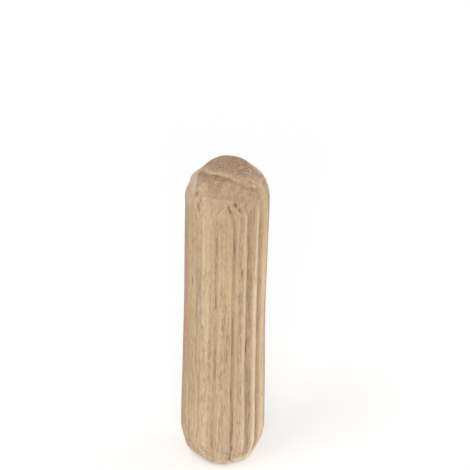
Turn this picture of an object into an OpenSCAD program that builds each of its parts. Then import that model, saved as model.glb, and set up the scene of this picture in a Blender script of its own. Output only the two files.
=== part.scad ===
// Fluted dowel pin, standing on its lower end face. A short length of beech rod is pointed at
// both ends and rolled between toothed wheels, which press straight flutes into its shank. It is
// glued into two blind holes to join boards: the flutes let air and spare glue out, and the
// rounded ends find the holes. The origin is the centre of the lower end face, and +Z is up.

/* [Pin] */
// Length over both end faces
pin_len = 40; // [25:1:60]
// Diameter over the crests, a little under the drilled hole until the glue swells the wood
crest_d = 9.6; // [8.6:0.1:11.6]

/* [Flutes] */
// Number of flutes round the shank
flute_count = 15; // [10:1:18]
// Width of a flute across its mouth, where it has its mean depth
flute_w = 0.85; // [0.5:0.05:1]
// Mean depth of the flutes below the crests
flute_depth = 0.28; // [0.2:0.02:0.4]
// How much deeper the flutes are on the hard-pressed side, and shallower on the side opposite
bite_change = 0.12; // [0:0.01:0.15]
// Direction of the hard-pressed side, in degrees from +X towards +Y
hard_side = -20; // [-180:5:180]
// Direction of the first flute, in degrees from +X towards +Y
first_flute = 18; // [0:0.25:30]

/* [Ends] */
// Length of each chamfer along the pin, up to where its cone meets the shank
chamfer_len = 2.8; // [2:0.1:3.4]
// Angle between the upper chamfer and the pin's axis
upper_slope = 39; // [30:1:44]
// Angle between the lower chamfer and the pin's axis, which leaves a wider end face
lower_slope = 26; // [22:1:34]
// Radius that eases the shoulder between the shank and each chamfer
shoulder_r = 6; // [5:0.1:7]
// Radius that eases the rim between each chamfer and its end face
rim_r = 1; // [0.2:0.1:1.4]

/* [Hidden] */
$fn = 96;

// How far a cutter stands past what it cuts
overrun = 0.5;

// The most of a chamfer's slope that one easing arc may take
arc_share = 0.48;

// Share of the rim arc's radius that the end face cuts away, which leaves the face its edge
face_cut = 0.02;

// Angle at which a slope crosses the shoulder arc, so that the two do more than touch
crossing = 1;

// Angle that the shoulder arc runs on under its slope
under_run = 5;

// Lengths in the outline are held to this step, so that an arc and the straight it runs into
// share the same figures and meet exactly
step = 0.0001;

crest_r = crest_d / 2;

half_pitch = 180 / flute_count;

// A flute is part of a round groove, whose radius follows from the flute's width and depth
groove_r = (pow(flute_w / 2, 2) + pow(flute_depth, 2)) / (2 * flute_depth);

// Depth of the flute at an angle round the pin
function flute_depth_at(angle) = flute_depth + bite_change * cos(angle - hard_side);

function held(length) = round(length / step) * step;

// Radius of an easing arc, where the outline turns by twice the half angle. The arc takes no
// more than its share of the chamfer's slope.
function arc_r(radius, half, slope) =
    held(min(radius, arc_share * chamfer_len / cos(slope) / tan(half)));

function shoulder_arc(slope) = arc_r(shoulder_r, slope / 2, slope);

function rim_arc(slope) = arc_r(rim_r, (90 - slope) / 2, slope);

// Height above the end face at which the shoulder arc runs into the shank
function shank_start(slope) = held(chamfer_len + shoulder_arc(slope) * tan(slope / 2));

// Part of the shoulder arc's disc, round its own centre, from the shank's edge down to where it
// has run a little way under the slope
module shoulder_disc(radius, slope) {
    drop = radius * sin(slope + under_run);
    intersection() {
        circle(r = radius);
        translate([0, -drop])
            square([2 * radius, drop]);
    }
}

// Half outline of a pointed end, face down at y = 0 and x outwards. The straight slope and the
// rim arc are drawn in a frame that turns with the slope about the shoulder arc's centre.
module pointed_end(slope) {
    shoulder = shoulder_arc(slope);
    rim = rim_arc(slope);
    reach = held(shoulder * cos(crossing));
    inset = reach - rim;
    centre = [crest_r - shoulder, shank_start(slope)];
    slope_run = (centre[1] - inset * sin(slope) - rim * (1 - face_cut)) / cos(slope);
    rim_x = centre[0] + inset * cos(slope) - slope_run * sin(slope);
    intersection() {
        square([crest_r + overrun, centre[1]]);
        union() {
            square([rim_x, centre[1]]);
            translate(centre)
                shoulder_disc(shoulder, slope);
            translate(centre)
                rotate(-slope)
                    translate([0, -slope_run]) {
                        square([reach, slope_run]);
                        translate([inset, 0])
                            circle(r = rim);
                    }
        }
    }
}

// The pin before it is fluted: shank, chamfers and end faces, turned in one profile that starts
// midway between two flutes
module turned_blank() {
    lower_edge = shank_start(lower_slope);
    upper_edge = pin_len - shank_start(upper_slope);
    rotate(first_flute + half_pitch)
        rotate_extrude() {
            pointed_end(lower_slope);
            translate([0, lower_edge])
                square([crest_r, upper_edge - lower_edge]);
            translate([0, pin_len])
                mirror([0, 1])
                    pointed_end(upper_slope);
        }
}

// The flutes, which run straight through and fade out where the ends curve in below their floor
module flutes() {
    for (i = [0 : flute_count - 1]) {
        angle = first_flute + i * 360 / flute_count;
        rotate(angle)
            translate([crest_r - flute_depth_at(angle) + groove_r, 0, -overrun])
                cylinder(r = groove_r, h = pin_len + 2 * overrun);
    }
}

module dowel_pin() {
    color("burlywood")
        difference() {
            turned_blank();
            flutes();
        }
}

dowel_pin();
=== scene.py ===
import math

import bpy
import numpy as np
from mathutils import Euler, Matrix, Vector


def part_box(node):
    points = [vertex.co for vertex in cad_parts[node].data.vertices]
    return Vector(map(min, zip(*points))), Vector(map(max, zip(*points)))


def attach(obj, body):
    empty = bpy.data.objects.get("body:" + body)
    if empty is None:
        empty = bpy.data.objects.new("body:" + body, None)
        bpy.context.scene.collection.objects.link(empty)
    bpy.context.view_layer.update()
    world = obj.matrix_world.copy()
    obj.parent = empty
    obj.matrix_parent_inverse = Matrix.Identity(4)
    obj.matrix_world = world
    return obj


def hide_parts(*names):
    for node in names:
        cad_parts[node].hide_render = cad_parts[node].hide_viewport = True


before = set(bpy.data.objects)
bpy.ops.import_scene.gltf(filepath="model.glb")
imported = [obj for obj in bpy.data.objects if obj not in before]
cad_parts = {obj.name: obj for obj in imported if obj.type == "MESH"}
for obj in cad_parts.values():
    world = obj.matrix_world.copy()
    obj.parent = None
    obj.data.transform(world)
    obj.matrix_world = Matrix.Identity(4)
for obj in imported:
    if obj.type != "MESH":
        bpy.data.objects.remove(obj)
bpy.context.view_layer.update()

# ---------------------------------------------------------------------------------------------
# Dowel pin. A short length of beech rod, pointed at both ends on a cutter and rolled between
# toothed wheels that press its flutes. It is bare wood, with the fuzz and nicks of the machine.
# Lengths in this section are in millimetres, and are turned to metres as the mesh is made.
# ---------------------------------------------------------------------------------------------
MM = 0.001
low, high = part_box("dowel_pin")
PIN_LEN = (high.z - low.z) / MM
CREST_R = (high.x - low.x) / 2 / MM

# The turned outline of each end: how long its chamfer is, how far the chamfer slopes from the
# pin's axis, and the radii that ease its shoulder and its rim
LOWER_END = dict(length=2.95, slope=math.radians(24), shoulder_r=6.6, rim_r=1.0)
UPPER_END = dict(length=2.7, slope=math.radians(40.5), shoulder_r=4.9, rim_r=0.5)
# The most of a chamfer's slope that one of its two arcs may take
ARC_SHARE = 0.48


def pointed_end(length, slope, shoulder_r, rim_r, points=60):
    """Outline of one end as radius and height above its face, from the face's middle out to the
    shank: a straight face, an arc, a straight cone and a second arc, each tangent to the next. An
    arc's run along the slope is its radius times the tangent of half the turn, up to ARC_SHARE."""
    shoulder_tan = math.tan(slope / 2)
    rim_tan = math.tan(math.pi / 4 - slope / 2)
    longest = ARC_SHARE * length / math.cos(slope)
    shoulder_run = min(shoulder_r * shoulder_tan, longest)
    rim_run = min(rim_r * rim_tan, longest)
    shoulder_arc = shoulder_run / shoulder_tan
    rim_arc = rim_run / rim_tan
    face_r = CREST_R - length * math.tan(slope) - rim_run
    rim_turn = np.linspace(0, math.pi / 2 - slope, points)
    shoulder_turn = np.linspace(slope, 0, points)
    radius = np.concatenate([
        [0.0],
        face_r + rim_arc * np.sin(rim_turn),
        CREST_R - shoulder_arc * (1 - np.cos(shoulder_turn)),
    ])
    height = np.concatenate([
        [0.0],
        rim_arc * (1 - np.cos(rim_turn)),
        length + shoulder_run - shoulder_arc * np.sin(shoulder_turn),
    ])
    return radius, height


def pin_outline(end_step, shank_step, nudge=0.02):
    """The whole outline from the lower face's middle to the upper one's, walked at a fine step
    over both ends and a coarser one along the shank. Returns radius, height, the outward normal's
    two parts and the length walked at each row. The normal stands square to the line between the
    outline a nudge before the row and a nudge after it."""
    lower_r, lower_z = pointed_end(**LOWER_END)
    upper_r, upper_z = pointed_end(**UPPER_END)
    radius = np.concatenate([lower_r, upper_r[::-1]])
    height = np.concatenate([lower_z, PIN_LEN - upper_z[::-1]])
    walked = np.concatenate([[0], np.cumsum(np.hypot(np.diff(radius), np.diff(height)))])
    shank_start = walked[len(lower_r) - 1]
    shank_end = walked[len(lower_r)]
    rows = np.concatenate([
        np.linspace(0, shank_start, round(shank_start / end_step), endpoint=False),
        np.linspace(shank_start, shank_end, round((shank_end - shank_start) / shank_step),
                    endpoint=False),
        np.linspace(shank_end, walked[-1], round((walked[-1] - shank_end) / end_step)),
    ])
    before = np.clip(rows - nudge, 0, walked[-1])
    after = np.clip(rows + nudge, 0, walked[-1])
    rise = np.interp(after, walked, height) - np.interp(before, walked, height)
    spread = np.interp(after, walked, radius) - np.interp(before, walked, radius)
    size = np.hypot(rise, spread)
    return (np.interp(rows, walked, radius), np.interp(rows, walked, height),
            rise / size, -spread / size, rows)


def soft_min(a, b, blend):
    """The smaller of a and b, with the corner between them rounded over about blend."""
    near = np.clip(blend - np.abs(a - b), 0, None) / blend
    return np.minimum(a, b) - near ** 2 * blend / 4


def fade(value, start, end):
    """Rises smoothly from 0 at start to 1 at end, as a cubic step. It falls where end is below
    start."""
    t = np.clip((value - start) / (end - start), 0, 1)
    return t * t * (3 - 2 * t)


def band(value, gone, whole, last_whole, gone_again):
    """Rises smoothly from 0 to 1 between the first two limits, and falls between the others."""
    return fade(value, gone, whole) * fade(value, gone_again, last_whole)


def hump(value, centre, width):
    """Bell curve of height 1 about a centre, falling to 0.37 at one width from it."""
    return np.exp(-((value - centre) / width) ** 2)


def wander(turn, up, round_cells, up_cells, seed):
    """Smooth random field from -1 to 1: random numbers on a grid of cells that closes on itself
    round the pin, blended between neighbours by cubic steps. turn and up run from 0 to 1."""
    grid = np.random.default_rng(seed).uniform(-1, 1, (up_cells + 2, round_cells))
    across = turn * round_cells
    climb = up * up_cells
    i = np.floor(climb).astype(int)
    j = np.floor(across).astype(int) % round_cells
    mix_up = fade(climb - i, 0, 1)
    mix_across = fade(across - np.floor(across), 0, 1)
    lower = grid[i, j] * (1 - mix_across) + grid[i, (j + 1) % round_cells] * mix_across
    upper = grid[i + 1, j] * (1 - mix_across) + grid[i + 1, (j + 1) % round_cells] * mix_across
    return lower * (1 - mix_up) + upper * mix_up


def layered(turn, up, layers):
    """Sum of random fields. Each layer gives how strong it is, its cells round the pin and up it,
    and its seed."""
    return sum(strength * wander(turn, up, *cells_and_seed) for strength, *cells_and_seed in layers)


# The flutes, counted round from the first. The wheels bit hardest on the right-hand side.
FLUTES = np.array([
    # degrees off its even place, depth, width, degrees of lean along the shank, and near the foot
    (0.6, 0.38, 0.86, 0.0, 0.0),
    (-0.8, 0.33, 0.88, 0.6, 0.0),
    (0.4, 0.28, 0.80, 1.0, 0.0),
    (1.2, 0.25, 0.74, 0.0, 0.0),
    (-0.6, 0.19, 0.66, -0.8, 0.0),
    (-1.0, 0.15, 0.62, -1.2, 0.0),
    (0.7, 0.14, 0.58, 0.4, 0.0),
    (0.9, 0.12, 0.52, 0.9, 0.0),
    (1.8, 0.11, 0.46, 0.6, 0.0),
    (-2.2, 0.12, 0.44, 0.0, 0.0),
    (-1.2, 0.16, 0.36, 0.0, 0.0),
    (-0.5, 0.22, 0.38, 0.6, 0.4),
    (0.6, 0.42, 1.24, 1.0, 2.0),
    (-5.2, 0.44, 0.92, -0.8, 2.0),
    (-2.0, 0.40, 0.92, 0.0, 1.0),
])
flute_shift, flute_depth, flute_width, shank_lean, foot_lean = FLUTES.T
FLUTE_COUNT = len(FLUTES)
FIRST_FLUTE = math.radians(18)
PITCH = 2 * math.pi / FLUTE_COUNT
# Heights between which the flutes take up their lean on the way down
SHANK_LEAN_Z = (34, 20)
FOOT_LEAN_Z = (14, 7)
# Each flute also wanders by about this much to one side and back as it runs up the pin
FLUTE_DRIFT = math.radians(0.55)

# The skin is a grid of rows up the outline and columns round the pin. Columns draw together over
# each flute, where the surface bends most.
COLUMNS = 32 * FLUTE_COUNT
END_STEP = 0.142
SHANK_STEP = 0.335
COLUMN_PULL = 0.22
row_r, row_z, normal_r, normal_z, row_walk = pin_outline(END_STEP, SHANK_STEP)
ROWS = len(row_r)
normal_r = normal_r[:, None]
normal_z = normal_z[:, None]
even = np.arange(COLUMNS) / COLUMNS
flute = np.round(even * FLUTE_COUNT).astype(int) % FLUTE_COUNT
pull = COLUMN_PULL * np.sin(2 * math.pi * FLUTE_COUNT * even) / (2 * math.pi * FLUTE_COUNT)
even_angle = FIRST_FLUTE + 2 * math.pi * (even - pull)

# What is known of each point: the turned rod's radius, the height, the share of the pin's length
# below it, the share of the outline walked up to it, and the share of a turn round the pin
base_r = row_r[:, None] * np.ones(COLUMNS)
z = row_z[:, None] * np.ones(COLUMNS)
along = z / PIN_LEN
walk = (row_walk / row_walk[-1])[:, None] * np.ones(COLUMNS)
turn = even * np.ones((ROWS, 1))


def between_flutes(degrees):
    """Blends the flutes' own angles straight from each flute to the next, all the way round."""
    flute_turn = np.arange(FLUTE_COUNT + 1) / FLUTE_COUNT
    return np.interp(even, flute_turn, np.radians(np.append(degrees, degrees[0])))


angle = (even_angle + between_flutes(flute_shift)
         + between_flutes(shank_lean) * fade(z, *SHANK_LEAN_Z)
         + between_flutes(foot_lean) * fade(z, *FOOT_LEAN_Z)
         + FLUTE_DRIFT * layered(turn, along, [(1.0, FLUTE_COUNT, 4, 3),
                                               (0.8, 2 * FLUTE_COUNT, 13, 4),
                                               (0.4, 3 * FLUTE_COUNT, 44, 25)]))
# Sides are told as seen from the front: 0 faces the viewer, 90 is the viewer's right
side = (np.degrees(angle) + 90 + 180) % 360 - 180


def patchy(mean, amount, up, round_cells, up_cells, seed):
    """A mean with a random field about it, to break up what it multiplies."""
    return mean + amount * wander(turn, up, round_cells, up_cells, seed)


def spots(rows):
    """Sum of soft round places on the skin. Each row gives a place's side and height, how far it
    spreads in degrees and up and down, and how strong it is."""
    return sum(strength * hump(side, middle, spread_round) * hump(z, height, spread_up)
               for middle, height, spread_round, spread_up, strength in rows)


def streaks(rows):
    """Sum of strips along the grain. Each row gives the side that a strip lies on, half its width
    in degrees, how strong it is and, unless it runs the whole length, the height at which it is
    gone and the height at which it is whole."""
    total = np.zeros_like(z)
    for middle, spread, strength, *gone_to_whole in rows:
        strip = strength * hump(side, middle, spread)
        total = total + (strip * fade(z, *gone_to_whole) if gone_to_whole else strip)
    return total


# Depth and width of the flute under each point, both uneven along the pin. Over the upper
# shoulder the flutes rise until hardly a trace is left, and sooner on the left half. The deepest
# ones, right of the front, keep more of their depth.
flute_turns = flute / FLUTE_COUNT * np.ones((ROWS, 1))
press = 1 + layered(flute_turns, along, [(0.14, FLUTE_COUNT, 7, 5), (0.12, FLUTE_COUNT, 19, 6)])
RUN_OUT_FROM = 34.2
RUN_OUT_TO = 38.4
SOONER_LEFT = 1.0
RISES_BY = 0.92
DEEP_RISE_LESS = 0.35
risen = fade(z, RUN_OUT_FROM, RUN_OUT_TO - SOONER_LEFT * fade(side, 30, 0))
press = press * (1 - risen * (RISES_BY - DEEP_RISE_LESS * hump(side, 45, 28)))
depth = flute_depth[flute] * press
half_mouth = flute_width[flute] / 2 * patchy(1, 0.10, along, 2 * FLUTE_COUNT, 11, seed=7)
# Near the top the ridge between the two widest flutes is pressed thin, from both sides
half_mouth = half_mouth * (1 + streaks([(45.5, 3.5, 0.34, 26.5, 30.5), (50.5, 3.5, 0.5, 13, 9)])
                           + spots([(50, 28, 3.5, 8, 0.32), (59, 25.5, 4, 5, 0.22)]))

# A flute is part of a round groove that is as deep as the flute and as wide at its mouth. The
# land between two flutes lies a little low, and rises to a lip beside each deep one. The lip is
# also painted pale, as a painted highlight.
LAND_DIP = 0.03
LIP_OUT = 0.14
LIP_WIDTH = 0.19
LIP_DEPTHS = (0.1, 0.35)
EDGE_BLEND = 0.05
CLEAR_OF_LAND = 1.0
off_flute = (even_angle - FIRST_FLUTE + PITCH / 2) % PITCH - PITCH / 2
across = np.abs(off_flute) * CREST_R
groove_r = (half_mouth ** 2 + depth ** 2) / (2 * depth)
floor_rise = groove_r - np.sqrt(np.clip(groove_r ** 2 - across ** 2, 0, None))
lip_and_highlight = hump(across, half_mouth + LIP_OUT, LIP_WIDTH) * fade(depth, *LIP_DEPTHS)
lip_and_highlight = lip_and_highlight * (1 - streaks([(43.5, 2.6, 0.8, 26.5, 30.5)]))
land_r = CREST_R - LAND_DIP * (1 - lip_and_highlight)
groove = np.where(across < groove_r, CREST_R - depth + floor_rise, CREST_R + CLEAR_OF_LAND)
fluted_r = soft_min(land_r, groove, EDGE_BLEND)
# The flutes' colour, pressed wood with painted shade over it, is as dark as it gets where a flute
# is this deep
DARKEST_DEPTH = 0.34
pressed = np.clip((land_r - fluted_r) / DARKEST_DEPTH, 0, 1)

# A painted highlight lies along that ridge as a bright line, narrower where the ridge is thin. It
# bends over by some degrees, each time from one height to another.
HIGHLIGHT_SIDE = 46.2
HIGHLIGHT_BENDS = [(0.6, 25, 15), (1.2, 12, 6), (0.7, 27, 30)]
HIGHLIGHT_WIDTH = 1.9
HIGHLIGHT_THINNED = 0.7
THINNED_Z = (27, 30)
HIGHLIGHT_TOP_Z = (37.2, 33.5)
highlight_line_side = HIGHLIGHT_SIDE + sum(bend * fade(z, *heights) for bend, *heights in HIGHLIGHT_BENDS)
ridge_highlight = hump(side, highlight_line_side, HIGHLIGHT_WIDTH - HIGHLIGHT_THINNED * fade(z, *THINNED_Z))
ridge_highlight = ridge_highlight * patchy(0.85, 0.35, along, 30, 24, seed=26) * fade(z, *HIGHLIGHT_TOP_Z)

# The rod is drawn in a little at mid-height, most on the right-hand side
WAIST = 0.10
RIGHT_WAIST = 0.11
WAIST_Z = 20.5
WAIST_SPREAD = 10.5
on_right = band(side, 20, 100, 130, 179)
fluted_r = fluted_r - hump(z, WAIST_Z, WAIST_SPREAD) * (WAIST + RIGHT_WAIST * on_right)

# Where an end curves in below a flute's floor, the flute runs out. At the lower end the wheels
# left a shallow trace of it as far as the rim.
TRACE_SHARE = 0.65
trace_whole = band(z, 0.2, 1.4, 8, 12)
trace = (land_r - fluted_r) * trace_whole
cut_r = np.minimum(soft_min(base_r, fluted_r, EDGE_BLEND), base_r - TRACE_SHARE * trace)
pressed = pressed * np.maximum(fade(base_r - fluted_r, -0.06, 0.04), trace_whole)
pressed = np.clip(pressed * patchy(0.85, 0.5, along, 90, 40, seed=24), 0, 1)
# The shank is where little or none of the rod's radius is gone
on_shank = fade(base_r, CREST_R - 0.40, CREST_R - 0.03)
# The widest flute is paler from its middle down, and the next one to the right is darker in two
# places
pressed = pressed * (1 - streaks([(39, 7, 0.2, 30, 24)]) - spots([(39, 21.5, 7, 2.5, 0.15)]))
pressed = pressed + spots([(56, 24, 5, 3.5, 0.5), (56, 5.5, 5, 4, 0.5)]) * on_shank

# The left shoulder is rubbed to a flat, a plane that faces out and up. Along each ray from the
# pin's axis, the plane lies at its distance from the axis over the cosine of the turn.
FLAT_SIDE = -85
FLAT_REACH = 60
FLAT_UP = math.radians(26)
FLAT_R = 4.09
FLAT_Z = 37.5
FLAT_LOWEST = 35.5
FLAT_BLEND = 0.03
FLAT_SMOOTHED = 0.4
FLAT_DEPTHS = (-0.16, -0.02)
FLAT_RISE_Z = (36.0, 36.8)
flat_turn = np.radians(np.clip(np.abs(side - FLAT_SIDE), 0, FLAT_REACH))
flat_r = (FLAT_R - (z - FLAT_Z) * math.tan(FLAT_UP)) / np.cos(flat_turn)
flattened = fade(cut_r - flat_r, *FLAT_DEPTHS) * fade(z, *FLAT_RISE_Z)
cut_r = np.where(z > FLAT_LOWEST, soft_min(cut_r, flat_r, FLAT_BLEND), cut_r)

# Fibres stand and lie along the grain, and more so where they were pressed. The cutter leaves
# fuzz and its own waves on the end grain. The whole skin is let in a little to make room for them.
LET_IN = 0.008
PRESSED_FUZZ = 0.8
fibres = layered(turn, along, [(0.010, 230, 11, 11), (0.008, 140, 26, 12), (0.012, 60, 7, 13)])
out_of_round = layered(turn, along, [(0.012, 7, 5, 14)])
fuzz = layered(turn, walk, [(0.016, 120, 330, 15), (0.012, 60, 150, 16)])
end_waves = layered(turn, walk, [(0.030, 13, 36, 17)])
low_cone = fade(z, 6, 4) * fade(base_r, 1.5, 3.0)
grainy = np.maximum(on_shank, low_cone)
relief = grainy * fibres * (1 + PRESSED_FUZZ * pressed) + out_of_round
relief = relief + (1 - grainy) * (fuzz + end_waves) - LET_IN

# The upper end was cut a little askew, which leaves an edge across the front of its face, told
# here from above as x and y. A painted highlight lies along the edge, and painted shade in front
# of it, most of all on the left.
EDGE = [(-3.4, 0.6), (-2.1, -1.15), (-1.1, -1.35), (0.0, -1.65), (1.0, -2.35), (1.9, -2.40),
        (2.9, -2.20), (3.6, -1.9)]
EDGE_STEP = 0.009
EDGE_RISE_Z = (36.4, 37.2)
EDGE_REACH_X = (3.8, 3.2)
plan_x = base_r * np.cos(angle)
plan_y = base_r * np.sin(angle)
edge_x, edge_y = np.array(EDGE).T
behind_edge = plan_y - np.interp(plan_x, edge_x, edge_y)
behind_edge = behind_edge + layered(turn, walk, [(0.16, 34, 44, 20), (0.12, 110, 140, 22)])
over_edge = fade(z, *EDGE_RISE_Z) * fade(np.abs(plan_x), *EDGE_REACH_X)
relief = relief - (EDGE_STEP * over_edge * fade(behind_edge, 0.20, -0.24)
                   * hump(behind_edge, 0.0, 0.9))
edge_highlight = over_edge * band(behind_edge, -0.16, 0.26, 0.35, 1.3) * fade(plan_x, 2.6, 0.2)
edge_highlight = edge_highlight * patchy(0.95, 0.5, walk, 100, 120, seed=34)
edge_shade_width = 0.14 + 0.56 * fade(plan_x, 1.3, -0.6) + 0.35 * hump(plan_x, -1.4, 0.8)
edge_shade = (over_edge * fade(behind_edge, 0.12, -0.16)
          * fade(-behind_edge, 2.2 * edge_shade_width, 0.4 * edge_shade_width))
edge_shade = edge_shade * patchy(0.8, 0.5, walk, 40, 46, seed=29) * (1 - 0.5 * hump(plan_x, 0.9, 0.7))
edge_shade = edge_shade * (1 - 0.35 * fade(plan_x, -2.2, -2.9))
# The face behind the edge is dark end grain, and its far rim is painted pale, as a painted
# highlight
top_face = fade(z, 39.0, 39.75) * fade(behind_edge, 0.5, 1.7)
top_face = top_face * (0.65 + 0.35 * fade(plan_x, -1.2, 0.6))
back_rim_highlight = fade(z, 37.6, 38.6) * fade(np.abs(side), 98, 114) * fade(base_r, 2.3, 2.9)

# The ends are not quite round. The face that the pin stands on stays flat.
UNEVEN = [
    # side, height, how far it spreads round and up, and how far it stands out
    (100, 38.4, 45, 1.3, 0.13),
    (-131, 38.6, 18, 0.9, -0.12),
    (-113, 37.45, 11, 0.35, 0.12),
    (-106, 37.1, 14, 0.5, -0.12),
    (-95, 36.0, 12, 0.5, 0.05),
    (-42, 0.9, 10, 0.9, -0.13),
    (-54, 0.25, 10, 0.5, -0.17),
    (-33, 0.1, 14, 0.4, -0.13),
    (-66, 1.5, 9, 0.8, 0.18),
    (69, 1.9, 9, 0.8, 0.07),
    (50, 0.6, 12, 0.7, 0.14),
    (60, 0.3, 9, 0.5, 0.10),
    (82, 3.1, 14, 0.6, 0.09),
]
off_foot = np.where(z < 1, fade(base_r, 2.0, 3.1), 1.0)
relief = relief + spots(UNEVEN) * off_foot
relief = relief * (1 - FLAT_SMOOTHED * flattened)

# The flat faces up and to the left, and is painted pale, as painted light, as far as a line that
# leans away over the rim, told here as height and side. The line is a little ragged and soft, by
# these many degrees.
FLAT_LIGHT_LINE = [(36.5, -62), (37.4, -60), (38.0, -62.5), (38.4, -69), (38.8, -78), (39.1, -86)]
FLAT_LIGHT_RAGGED = 2.5
FLAT_LIGHT_SOFT = 4
flat_light_z, flat_light_side = np.array(FLAT_LIGHT_LINE).T
flat_light_line = np.interp(z, flat_light_z, flat_light_side) + FLAT_LIGHT_RAGGED * wander(turn, walk, 50, 60, seed=30)
flat_light = band(side, -126, -112, flat_light_line - FLAT_LIGHT_SOFT, flat_light_line + FLAT_LIGHT_SOFT)
flat_light = flat_light * band(z, 35.8, 36.8, 38.85, 39.35)
flat_light = flat_light * patchy(0.85, 0.3, walk, 44, 70, seed=31)


def scratch(side_0, z_0, side_1, z_1, width):
    """Falls from 1 on a short line to 0.37 at one width from it. The line runs between two places
    on the pin's skin, each told by its side in degrees and its height. Lengths on the skin are
    the turn times the radius, and the rise over the normal's outward part."""
    reach = np.maximum(base_r, 0.5)
    upright = np.maximum(np.abs(normal_r), 0.35)
    to_side = np.radians((side - side_0 + 180) % 360 - 180) * reach
    to_z = (z - z_0) / upright
    line_side = math.radians(side_1 - side_0) * reach
    line_z = (z_1 - z_0) / upright
    share = (to_side * line_side + to_z * line_z) / np.maximum(line_side ** 2 + line_z ** 2, 1e-6)
    share = np.clip(share, 0, 1)
    gap = np.hypot(to_side - share * line_side, to_z - share * line_z)
    return np.exp(-(gap / width) ** 2)


# Pits, nicks and open pores
NICKS = [
    # side and height of one end and of the other, half width, and depth
    (-58.6, 38.02, -58.2, 37.95, 0.18, 0.24),
    (-58.8, 38.03, -58.3, 37.92, 0.20, 0.14),
    (-46.8, 38.2, -43, 37.1, 0.09, 0.07),
    (-47.2, 37.3, -42.0, 36.6, 0.10, 0.10),
    (1.8, 37.75, 5.2, 37.1, 0.11, 0.12),
    (12.2, 37.95, 14.0, 37.80, 0.18, 0.16),
    (17.6, 37.40, 19.2, 37.15, 0.13, 0.12),
    (26, 37.6, 31, 37.7, 0.11, 0.06),
    (23.3, 29.0, 23.3, 27.6, 0.10, 0.08),
    (20, 25.6, 20, 24.4, 0.09, 0.08),
    (35, 18.3, 35, 16.6, 0.12, 0.10),
    (-53, 26.7, -53, 25.9, 0.12, 0.07),
    (-3, 22.1, -2.5, 20.3, 0.08, 0.07),
    (4, 17.6, 4, 16.0, 0.08, 0.06),
    (-13.3, 33.2, -13.3, 31.2, 0.08, 0.06),
    (-13.3, 25.3, -13.3, 23.5, 0.08, 0.06),
    (-12.5, 19.0, -12.5, 13.0, 0.07, 0.05),
    (-37, 13.1, -37, 9.2, 0.08, 0.05),
    (11.0, 33.5, 11.4, 30.5, 0.07, 0.06),
    (12.0, 22.0, 11.6, 17.0, 0.07, 0.06),
    (11.2, 10.0, 11.2, 12.0, 0.07, 0.06),
    (13.2, 0.7, 13.0, 1.8, 0.08, 0.09),
    (12.8, 1.6, 13.4, 3.0, 0.07, 0.08),
    (-14.9, 7.5, -14.6, 0.9, 0.09, 0.04),
    (-24.0, 2.7, -23.4, 1.2, 0.08, 0.06),
    (13.6, 3.0, 12.6, 4.4, 0.08, 0.09),
    (12.6, 4.6, 14.4, 6.0, 0.08, 0.08),
    (14.2, 6.2, 13.8, 8.4, 0.06, 0.07),
]
# A nick this deep or deeper is dark all through, and some way up its sides
DARK_NICK = 0.12
DARK_SIDES = 1.4
broken = 0.7 + layered(turn, walk, [(0.35, 160, 120, 23), (0.25, 240, 260, 27)])
nicked = np.zeros_like(z)
for side_0, z_0, side_1, z_1, width, deep in NICKS:
    dent = scratch(side_0, z_0, side_1, z_1, width) * broken
    relief = relief - deep * dent
    dark = DARK_SIDES * dent * min(1.0, deep / DARK_NICK)
    nicked = np.maximum(nicked, np.clip(dark, 0, 1))

# The relief moves each point along the turned rod's normal. The middles of both faces are single
# points, so it dies out towards them, and nothing stands out past the rod's own size.
cut_r = np.clip(cut_r + relief * normal_r, 0, CREST_R)
z = np.clip(z + relief * normal_z * fade(base_r, 0.1, 0.9), 0, PIN_LEN)

# Where the wood is darker, paler or of another tint, and where shade, highlights, light and a
# reflection are painted, is kept on the skin as masks. First come the strips along the grain, which
# are dark, or pale where their number is negative.
STRIPS = [
    # side, half width, and how dark
    (8.3, 2.3, 1.0),
    (18, 2.5, 0.7),
    (0.5, 3, 0.4),
    (-17.5, 2, 0.5),
    (-9, 2, 0.3),
    (-58, 4, 0.15),
    (-50, 4, 0.2),
    (-33, 3, -0.5),
    (-26, 3, -0.3),
    (69, 7, -1.2),
    (101, 8, 0.4),
    (140, 5, 0.5),
    (171, 9, 0.4),
    (-120, 6, 0.4),
    (-150, 4, 0.5),
]
PATCHES = [
    # side, height, how far it spreads round and up, and how dark
    (12.5, 28.0, 2.0, 2.8, 1.0),
    (26.0, 27.5, 2.5, 3.0, 0.8),
    (14.3, 14.0, 2.0, 3.0, 0.8),
    (-7.5, 6.5, 2.5, 2.5, -0.5),
    (30.0, 37.0, 5.0, 0.9, 0.9),
    (56.0, 36.5, 8.0, 1.2, -0.8),
]
strip = streaks(STRIPS) + spots(PATCHES)
strip = strip * patchy(0.8, 0.5, along, 60, 9, seed=28) * fade(z, 38.2, 36.0)
# Ochre and rosy wood lies in strips as well. A redder strip on the left is a painted warm
# reflection. The first ochre strip spreads over the upper shoulder, and is weak low down.
ochre = hump(side, -58, 4.5 + 2.5 * fade(z, 36, 38)) * fade(z, 39.5, 38.6)
ochre = 0.8 * ochre * (0.3 + 0.7 * fade(z, 14, 22))
ochre = ochre + fade(z, 38, 36) * streaks([(-17.5, 2.2, 0.5), (3.5, 2.5, 0.7, 20, 26),
                                           (31, 2, 0.5, 24, 16), (56, 4, 0.8)])
ochre = ochre * patchy(0.85, 0.35, along, 60, 14, seed=32)
rosy = streaks([(-9.5, 2.2, 0.8), (17, 2.5, 0.6), (-40, 4, 0.5)]) * fade(z, 37, 35)
rosy = rosy * patchy(0.8, 0.5, along, 60, 12, seed=33)
# Painted warm reflection along the left edge of the shank
red = streaks([(-77, 9, 1.0, 39, 37)]) * patchy(0.75, 0.5, along, 90, 8, seed=35)
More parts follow.
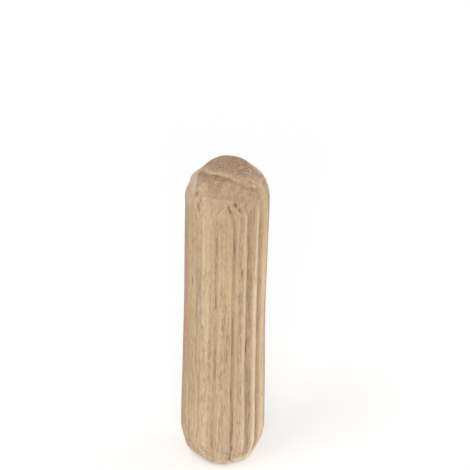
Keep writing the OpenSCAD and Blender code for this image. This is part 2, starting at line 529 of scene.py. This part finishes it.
# The cone over the upper shoulder is painted darker in front, as painted shade, and paler on both
# sides, as painted light
on_cone = band(z, 36.6, 37.6, 38.8, 39.5)
cone_shade = on_cone * band(side, -38, -20, 50, 66)
cone_shade = cone_shade + spots([(32, 39.3, 10, 0.45, 2.0)])
cone_side_light = on_cone * streaks([(-46, 9, 1.0), (72, 9, 0.8)])
# The foot is painted lighter than the rest, as painted light on faces that turn down, and its rim
# most of all, as a painted highlight where the ridge's painted highlight dies out
on_side = fade(np.abs(normal_r) * np.ones_like(z), 0.2, 0.6)
lit_foot = (0.3 * fade(z, 11, 3) + 0.7 * fade(z, 3.2, 0.3)) * (0.8 + 0.2 * fade(side, 0, 50))
foot_rim_highlight = streaks([(28, 4, 0.35, 4.5, 1.5)]) + 0.8 * fade(z, 1.5, 0.4) * fade(side, -15, 0)
highlight_end = np.maximum(on_shank, fade(z, 8, 3)) * (1 - 0.35 * fade(z, 2.5, 0.8))
MASKS = {
    "pressed": pressed,
    "lip_and_highlight": lip_and_highlight * on_shank,
    "ridge_highlight": ridge_highlight * highlight_end,
    "end_grain": np.abs(normal_z) * np.ones(COLUMNS),
    "nicked": nicked,
    "edge_highlight": edge_highlight,
    "edge_shade": edge_shade,
    "top_face": top_face,
    "flat_light": flat_light,
    "rosy_shoulder": spots([(-21, 37.4, 13, 0.8, 1.0)]),
    "ashy_cone": spots([(8, 38.9, 20, 0.5, 1.0)]),
    "back_rim_highlight": back_rim_highlight,
    "left_reflection": red,
    "ochre_strip": ochre,
    "rosy_strip": rosy,
    "cone_shade": cone_shade,
    "cone_side_light": cone_side_light,
    "strip": np.clip(strip, 0, 1),
    "pale_strip": np.clip(-strip, 0, 1),
    "lit_foot": lit_foot * on_side,
    "foot_rim_highlight": foot_rim_highlight * on_side,
    "upper_tone": band(z, 26, 35, 36.5, 38.5),
}


def closed_skin(name, x, y, z):
    """Mesh of rings stacked from the first row to the last, whose first and last rows are single
    points: quads join each ring to the next, and a fan of triangles closes each end."""
    rings = slice(1, len(x) - 1)
    ring_count = len(x) - 2
    columns = x.shape[1]
    points = np.stack([x[rings], y[rings], z[rings]], axis=-1).reshape(-1, 3)
    ends = np.array([[0, 0, z[0, 0]], [0, 0, z[-1, 0]]])
    points = np.concatenate([points, ends]) * MM
    lower_end = ring_count * columns
    upper_end = lower_end + 1
    here = np.arange(columns)
    beside = np.roll(here, -1)
    ring = (np.arange(ring_count - 1) * columns)[:, None]
    quads = np.stack([ring + here, ring + beside, ring + columns + beside, ring + columns + here],
                     axis=-1).reshape(-1, 4)
    last = (ring_count - 1) * columns
    fan_low = np.stack([np.full(columns, lower_end), beside, here], axis=-1)
    fan_high = np.stack([np.full(columns, upper_end), last + here, last + beside], axis=-1)
    mesh = bpy.data.meshes.new(name)
    mesh.from_pydata(points, [], quads.tolist() + fan_low.tolist() + fan_high.tolist())
    mesh.polygons.foreach_set("use_smooth", np.ones(len(mesh.polygons), bool))
    mesh.update()
    return mesh


def paint(mesh, name, rows):
    """Stores one number a point under a name: the rings' own, and the means of the first and last
    rows."""
    values = np.concatenate([rows[1:-1].ravel(), [rows[0].mean(), rows[-1].mean()]])
    stored = mesh.attributes.new(name, "FLOAT", "POINT")
    stored.data.foreach_set("value", values.astype(np.float32))


pin_mesh = closed_skin("dowel_pin_wood", cut_r * np.cos(angle), cut_r * np.sin(angle), z)
for mask_name, mask_rows in MASKS.items():
    paint(pin_mesh, mask_name, mask_rows)


def add(tree, kind, inputs=None, **settings):
    """Adds a node, sets its fields, and fills its inputs with values or links."""
    node = tree.nodes.new(kind)
    for name, value in settings.items():
        setattr(node, name, value)
    for name, value in (inputs or {}).items():
        if isinstance(value, bpy.types.NodeSocket):
            tree.links.new(value, node.inputs[name])
        else:
            node.inputs[name].default_value = value
    return node


def mix_colour(tree, share, one, two, blend="MIX"):
    """Mixes two colours, or blends the second over the first, by a share."""
    node = add(tree, "ShaderNodeMix", {0: share, 6: one, 7: two}, data_type="RGBA",
               blend_type=blend)
    return node.outputs[2]


def calc(tree, operation, one, two, clamp=False):
    """One step of arithmetic on two values."""
    node = add(tree, "ShaderNodeMath", {0: one, 1: two}, operation=operation, use_clamp=clamp)
    return node.outputs[0]


def ramp(tree, value, start, end):
    """Maps start..end to 0..1, clamped, as a smooth step."""
    node = add(tree, "ShaderNodeMapRange", {"Value": value, "From Min": start, "From Max": end},
               interpolation_type="SMOOTHSTEP")
    return node.outputs[0]


def stretched(tree, vector, across, along, turned=0.0):
    """A place scaled across and along the grain, and turned about the pin's axis."""
    node = add(tree, "ShaderNodeMapping", {"Vector": vector, "Rotation": (0, 0, turned),
                                           "Scale": (across, across, along)})
    return node.outputs[0]


def noise(tree, vector, detail, scale=1.0, rough=0.5):
    """Grey noise of about 0.5 mean."""
    node = add(tree, "ShaderNodeTexNoise", {"Vector": vector, "Scale": scale, "Detail": detail,
                                            "Roughness": rough})
    return node.outputs["Fac"]


def mask(tree, name):
    """A mask stored on the mesh, by its name."""
    return add(tree, "ShaderNodeAttribute", attribute_name=name).outputs["Fac"]


def cover(tree, colour, *layers):
    """Lays colours over another in turn. Each layer gives where it lies, which is a mask's name or
    a value that changes over the surface, how strongly it covers, and its colour."""
    for share, strength, over in layers:
        share = mask(tree, share) if isinstance(share, str) else share
        colour = mix_colour(tree, calc(tree, "MULTIPLY", share, strength, clamp=True), colour, over)
    return colour


def srgb(red, green, blue):
    """Linear colour of an 8-bit screen colour."""
    parts = [c / 255 for c in (red, green, blue)]
    return tuple(((c + 0.055) / 1.055) ** 2.4 if c > 0.04045 else c / 12.92 for c in parts) + (1.0,)


# Beech under the lens: fibres a third of a millimetre wide and several long, rays that show as
# short dark dashes where the surface lies along the rings, and pores that speckle the end grain
PLAIN = srgb(205, 179, 146)
DEEP = srgb(172, 142, 110)
PALE = srgb(226, 202, 170)
WARM_PALE = srgb(236, 204, 166)
GREENISH = srgb(202, 181, 138)
PINKISH = srgb(206, 173, 149)
# Painted warm reflection on the pin's left edge
REFLECTED_RED = srgb(197, 154, 128)
OCHRE = srgb(204, 180, 130)
ASHY = srgb(178, 152, 136)
PORE = srgb(140, 110, 82)
# Pressed wood in the flutes, with painted shade of the flutes' floors in it
PRESSED_AND_SHADE = srgb(170, 143, 115)
# Painted highlight along the ridge right of the front
RIDGE_HIGHLIGHT = srgb(240, 222, 196)
END_GRAIN = srgb(188, 159, 134)
END_DARK = srgb(155, 123, 97)
FACE_WOOD = srgb(160, 127, 104)
# Darker end grain on the face, and painted shade in front of the askew edge
FACE_DARK_AND_EDGE_SHADE = srgb(150, 119, 96)
# Painted light on the flat that faces up and left, and a rosy tint on the shoulder
FLAT_LIGHT_AND_ROSE = srgb(222, 198, 183)
NICK = srgb(122, 90, 60)
# Colours that multiply the one below them
STREAK = srgb(214, 205, 192)
# Painted light that lifts the foot
PAINTED_LIGHT = (1.24, 1.33, 1.40, 1.0)
RING_TURN = math.radians(24)

wood = bpy.data.materials.new("bare_beech")
wood.use_nodes = True
tree = wood.node_tree
tree.nodes.clear()
place = add(tree, "ShaderNodeTexCoord").outputs["Object"]
mm_place = add(tree, "ShaderNodeMapping", {"Vector": place, "Scale": (1 / MM,) * 3}).outputs[0]
end_mask = ramp(tree, mask(tree, "end_grain"), 0.30, 0.80)
shank_mask = calc(tree, "SUBTRACT", 1.0, end_mask)
fibre = noise(tree, stretched(tree, mm_place, across=2.4, along=0.13), detail=4, rough=0.65)
fine_fibre = noise(tree, stretched(tree, mm_place, across=8, along=0.5), detail=3, rough=0.65)
fleck = noise(tree, stretched(tree, mm_place, across=6, along=1.6), detail=3, rough=0.65)
tint = noise(tree, stretched(tree, mm_place, across=1.5, along=0.06), detail=3)
speckle = noise(tree, mm_place, detail=4, scale=5.0, rough=0.75)
mottle = noise(tree, stretched(tree, mm_place, across=1.0, along=1.6), detail=3, scale=1.3,
               rough=0.6)
blotch = noise(tree, mm_place, detail=3, scale=1.9, rough=0.6)
dash_place = stretched(tree, mm_place, across=5.5, along=0.5, turned=RING_TURN)
dash_cells = add(tree, "ShaderNodeTexVoronoi", {"Vector": dash_place, "Scale": 1.0,
                                                "Randomness": 1.0})
dashes = ramp(tree, dash_cells.outputs["Distance"], 0.30, 0.14)

# Wood along the grain, and end grain over it where the surface faces up or down
colour = cover(
    tree, mix_colour(tree, ramp(tree, fibre, 0.36, 0.58), DEEP, PLAIN),
    (ramp(tree, fine_fibre, 0.52, 0.74), 0.8, PALE),
    (ramp(tree, fine_fibre, 0.44, 0.28), 0.35, DEEP),
    (ramp(tree, tint, 0.50, 0.62), 0.7, PINKISH),
    (ramp(tree, tint, 0.50, 0.38), 0.7, GREENISH),
    (ramp(tree, fleck, 0.54, 0.68), 0.25, DEEP),
    (ramp(tree, fleck, 0.46, 0.32), 0.45, PALE),
    ("strip", 0.8, DEEP),
    ("pale_strip", 0.8, WARM_PALE),
    (dashes, 0.6, PORE),
)
end_colour = cover(
    tree, mix_colour(tree, ramp(tree, speckle, 0.32, 0.68), END_DARK, END_GRAIN),
    (ramp(tree, mottle, 0.50, 0.60), 0.95, END_DARK),
    (ramp(tree, mottle, 0.47, 0.36), 0.8, PALE),
    (ramp(tree, blotch, 0.52, 0.62), 0.55, PINKISH),
    (ramp(tree, blotch, 0.47, 0.37), 0.6, GREENISH),
)
colour = mix_colour(tree, calc(tree, "MULTIPLY", end_mask, 0.85), colour, end_colour)

# What the wheels, the cutter and the rub did to it, and the painted highlights, painted shade,
# painted light and painted reflection laid over it
face_mask = mask(tree, "top_face")


def on_face(value, start, end):
    """Where a value lies between two levels, on the upper end face alone."""
    return calc(tree, "MULTIPLY", face_mask, ramp(tree, value, start, end))


colour = cover(
    tree, colour,
    # Pressed wood and painted shade in the flutes, darker where they are deeper
    ("pressed", 0.7, PRESSED_AND_SHADE),
    # Painted highlight on the flutes' lips
    ("lip_and_highlight", 0.75, PALE),
    # Painted highlight along the ridge right of the front
    ("ridge_highlight", 0.85, RIDGE_HIGHLIGHT),
    # Painted warm reflection along the left edge
    ("left_reflection", 0.75, REFLECTED_RED),
    ("ochre_strip", 0.6, OCHRE),
    ("rosy_strip", 0.6, PINKISH),
    # Painted light on the flat, which faces up and to the left
    ("flat_light", 0.80, FLAT_LIGHT_AND_ROSE),
    ("rosy_shoulder", 0.27, FLAT_LIGHT_AND_ROSE),
    ("ashy_cone", 0.35, ASHY),
    (on_face(speckle, 0.70, 0.36), 0.95, FACE_WOOD),
    (on_face(blotch, 0.50, 0.62), 0.6, PINKISH),
    (on_face(mottle, 0.50, 0.38), 0.6, FACE_DARK_AND_EDGE_SHADE),
    (on_face(fleck, 0.52, 0.66), 0.45, PALE),
    (on_face(fleck, 0.46, 0.34), 0.45, FACE_DARK_AND_EDGE_SHADE),
    # Painted shade on the cone's front, and painted light on its sides
    ("cone_shade", 0.22, END_DARK),
    ("cone_side_light", 0.25, PALE),
    # Painted shade in front of the askew edge
    ("edge_shade", 0.9, FACE_DARK_AND_EDGE_SHADE),
    # Painted highlight along the askew edge
    ("edge_highlight", 0.45, PALE),
    # Painted highlight on the face's far rim
    ("back_rim_highlight", 0.45, PALE),
)
# Painted light on the foot, and a painted highlight on its rim
for painted_light_place in ("lit_foot", "foot_rim_highlight"):
    colour = mix_colour(tree, mask(tree, painted_light_place), colour, PAINTED_LIGHT, "MULTIPLY")
colour = cover(tree, colour, ("upper_tone", 0.16, DEEP))
# Dark streaks of grain show through all of it on the shank
for value, start, end, strength in [(fine_fibre, 0.50, 0.30, 0.36), (fleck, 0.46, 0.62, 0.18)]:
    streak = calc(tree, "MULTIPLY", ramp(tree, value, start, end), shank_mask)
    streak = calc(tree, "MULTIPLY", streak, strength)
    colour = mix_colour(tree, streak, colour, STREAK, "MULTIPLY")
colour = cover(tree, colour, ("nicked", 0.9, NICK))

# Bare wood is matt, and its grain stands up by less than a tenth of a millimetre
GRAIN_HEIGHT = 0.08
BARE_ROUGHNESS = 0.82
BARE_SPECULAR = 0.18
grain = calc(tree, "ADD", calc(tree, "MULTIPLY", fine_fibre, 0.6),
             calc(tree, "MULTIPLY", speckle, 0.5))
bump = add(tree, "ShaderNodeBump", {"Height": grain, "Strength": 0.6,
                                    "Distance": GRAIN_HEIGHT * MM})
bare = add(tree, "ShaderNodeBsdfPrincipled", {"Base Color": colour, "Normal": bump.outputs[0],
                                              "Roughness": BARE_ROUGHNESS,
                                              "Specular IOR Level": BARE_SPECULAR})
add(tree, "ShaderNodeOutputMaterial", {"Surface": bare.outputs[0]})

pin = bpy.data.objects.new("dowel_pin_wood", pin_mesh)
bpy.context.scene.collection.objects.link(pin)
pin_mesh.materials.append(wood)
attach(pin, "root")
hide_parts("dowel_pin")

# ---------------------------------------------------------------------------------------------
# Table top. A plain sheet of white board under the pin, wide enough to fill every view. Seen
# straight on it glows a little, so that it stays white while the lamps stay low.
# ---------------------------------------------------------------------------------------------
BOARD_HALF = 1.5
BOARD_WHITE = (0.86, 0.86, 0.86, 1)
BOARD_ROUGHNESS = 0.9
BOARD_LIFT = 0.25
WHITE = (1, 1, 1, 1)
board_mesh = bpy.data.meshes.new("white_board")
board_mesh.from_pydata([(-BOARD_HALF, -BOARD_HALF, 0), (BOARD_HALF, -BOARD_HALF, 0),
                        (BOARD_HALF, BOARD_HALF, 0), (-BOARD_HALF, BOARD_HALF, 0)],
                       [], [(0, 1, 2, 3)])
board = bpy.data.objects.new("white_board", board_mesh)
bpy.context.scene.collection.objects.link(board)


def seen_directly(tree):
    """1 where the camera looks, also in a gloss or through glass, and 0 for light on its way."""
    path = add(tree, "ShaderNodeLightPath")
    seen = calc(tree, "ADD", path.outputs["Is Camera Ray"], path.outputs["Is Glossy Ray"])
    return calc(tree, "ADD", seen, path.outputs["Is Transmission Ray"], clamp=True)


card = bpy.data.materials.new("white_card")
card.use_nodes = True
tree = card.node_tree
tree.nodes.clear()
lift = calc(tree, "MULTIPLY", seen_directly(tree), BOARD_LIFT)
matt = add(tree, "ShaderNodeBsdfPrincipled", {"Base Color": BOARD_WHITE,
                                              "Roughness": BOARD_ROUGHNESS,
                                              "Emission Color": WHITE,
                                              "Emission Strength": lift})
add(tree, "ShaderNodeOutputMaterial", {"Surface": matt.outputs[0]})
board_mesh.materials.append(card)

# ---------------------------------------------------------------------------------------------
# Light. Three soft lamps in an even white room: one in front of the pin and a little above it,
# one low on its right, and a weaker one high on its left.
# ---------------------------------------------------------------------------------------------
ROOM_LIGHT = 0.60
BACKDROP_LIGHT = 1.0
LAMP_REACH = 0.8
world = bpy.data.worlds.new("white_room")
bpy.context.scene.world = world
world.use_nodes = True
tree = world.node_tree
tree.nodes.clear()
room = add(tree, "ShaderNodeBackground", {"Color": WHITE, "Strength": ROOM_LIGHT})
backdrop = add(tree, "ShaderNodeBackground", {"Color": WHITE, "Strength": BACKDROP_LIGHT})
both = add(tree, "ShaderNodeMixShader", {0: seen_directly(tree), 1: room.outputs[0],
                                         2: backdrop.outputs[0]})
add(tree, "ShaderNodeOutputWorld", {"Surface": both.outputs[0]})


def soft_lamp(name, azimuth, elevation, size, power):
    """Square area lamp aimed at the pin's middle from an azimuth (0 on the viewer's side, growing
    to the right) and an elevation, both in degrees. Its size is in metres and its power in
    watts."""
    lamp = bpy.data.lights.new(name, "AREA")
    lamp.size = size
    lamp.energy = power
    around = math.radians(azimuth)
    up = math.radians(elevation)
    aim = Vector((0, 0, PIN_LEN * MM / 2))
    offset = Vector((math.sin(around) * math.cos(up), -math.cos(around) * math.cos(up),
                     math.sin(up)))
    holder = bpy.data.objects.new(name, lamp)
    holder.location = aim + offset * LAMP_REACH
    holder.rotation_euler = offset.to_track_quat("Z", "Y").to_euler()
    bpy.context.scene.collection.objects.link(holder)


soft_lamp("front_lamp", azimuth=-2, elevation=25, size=0.35, power=2.25)
soft_lamp("right_lamp", azimuth=112, elevation=9, size=0.3, power=1.5)
soft_lamp("upper_left_lamp", azimuth=-58, elevation=62, size=0.3, power=1.1)

# ---------------------------------------------------------------------------------------------
# Camera. It looks down on the pin from the front, through a long lens, and is turned a little
# so that the pin leans to the right as it rises.
# ---------------------------------------------------------------------------------------------
VIEW_REACH = 1.0
VIEW_DOWN = math.radians(37.5)
VIEW_ROLL = math.radians(1.31)
VIEW_AIM = Vector((0.94, 0, 30.60)) * MM
LENS_LENGTH = 679.6
SENSOR_WIDTH = 36
FARTHEST = 20
lens = bpy.data.cameras.new("camera")
lens.lens = LENS_LENGTH
lens.sensor_width = SENSOR_WIDTH
lens.clip_end = FARTHEST
camera = bpy.data.objects.new("camera", lens)
camera.location = VIEW_AIM + VIEW_REACH * Vector((0, -math.cos(VIEW_DOWN), math.sin(VIEW_DOWN)))
aimed = Euler((math.pi / 2 - VIEW_DOWN, 0, 0)).to_matrix() @ Euler((0, 0, VIEW_ROLL)).to_matrix()
camera.rotation_euler = aimed.to_euler()
bpy.context.scene.collection.objects.link(camera)
bpy.context.scene.camera = camera
bpy.context.scene.view_settings.view_transform = "Standard"
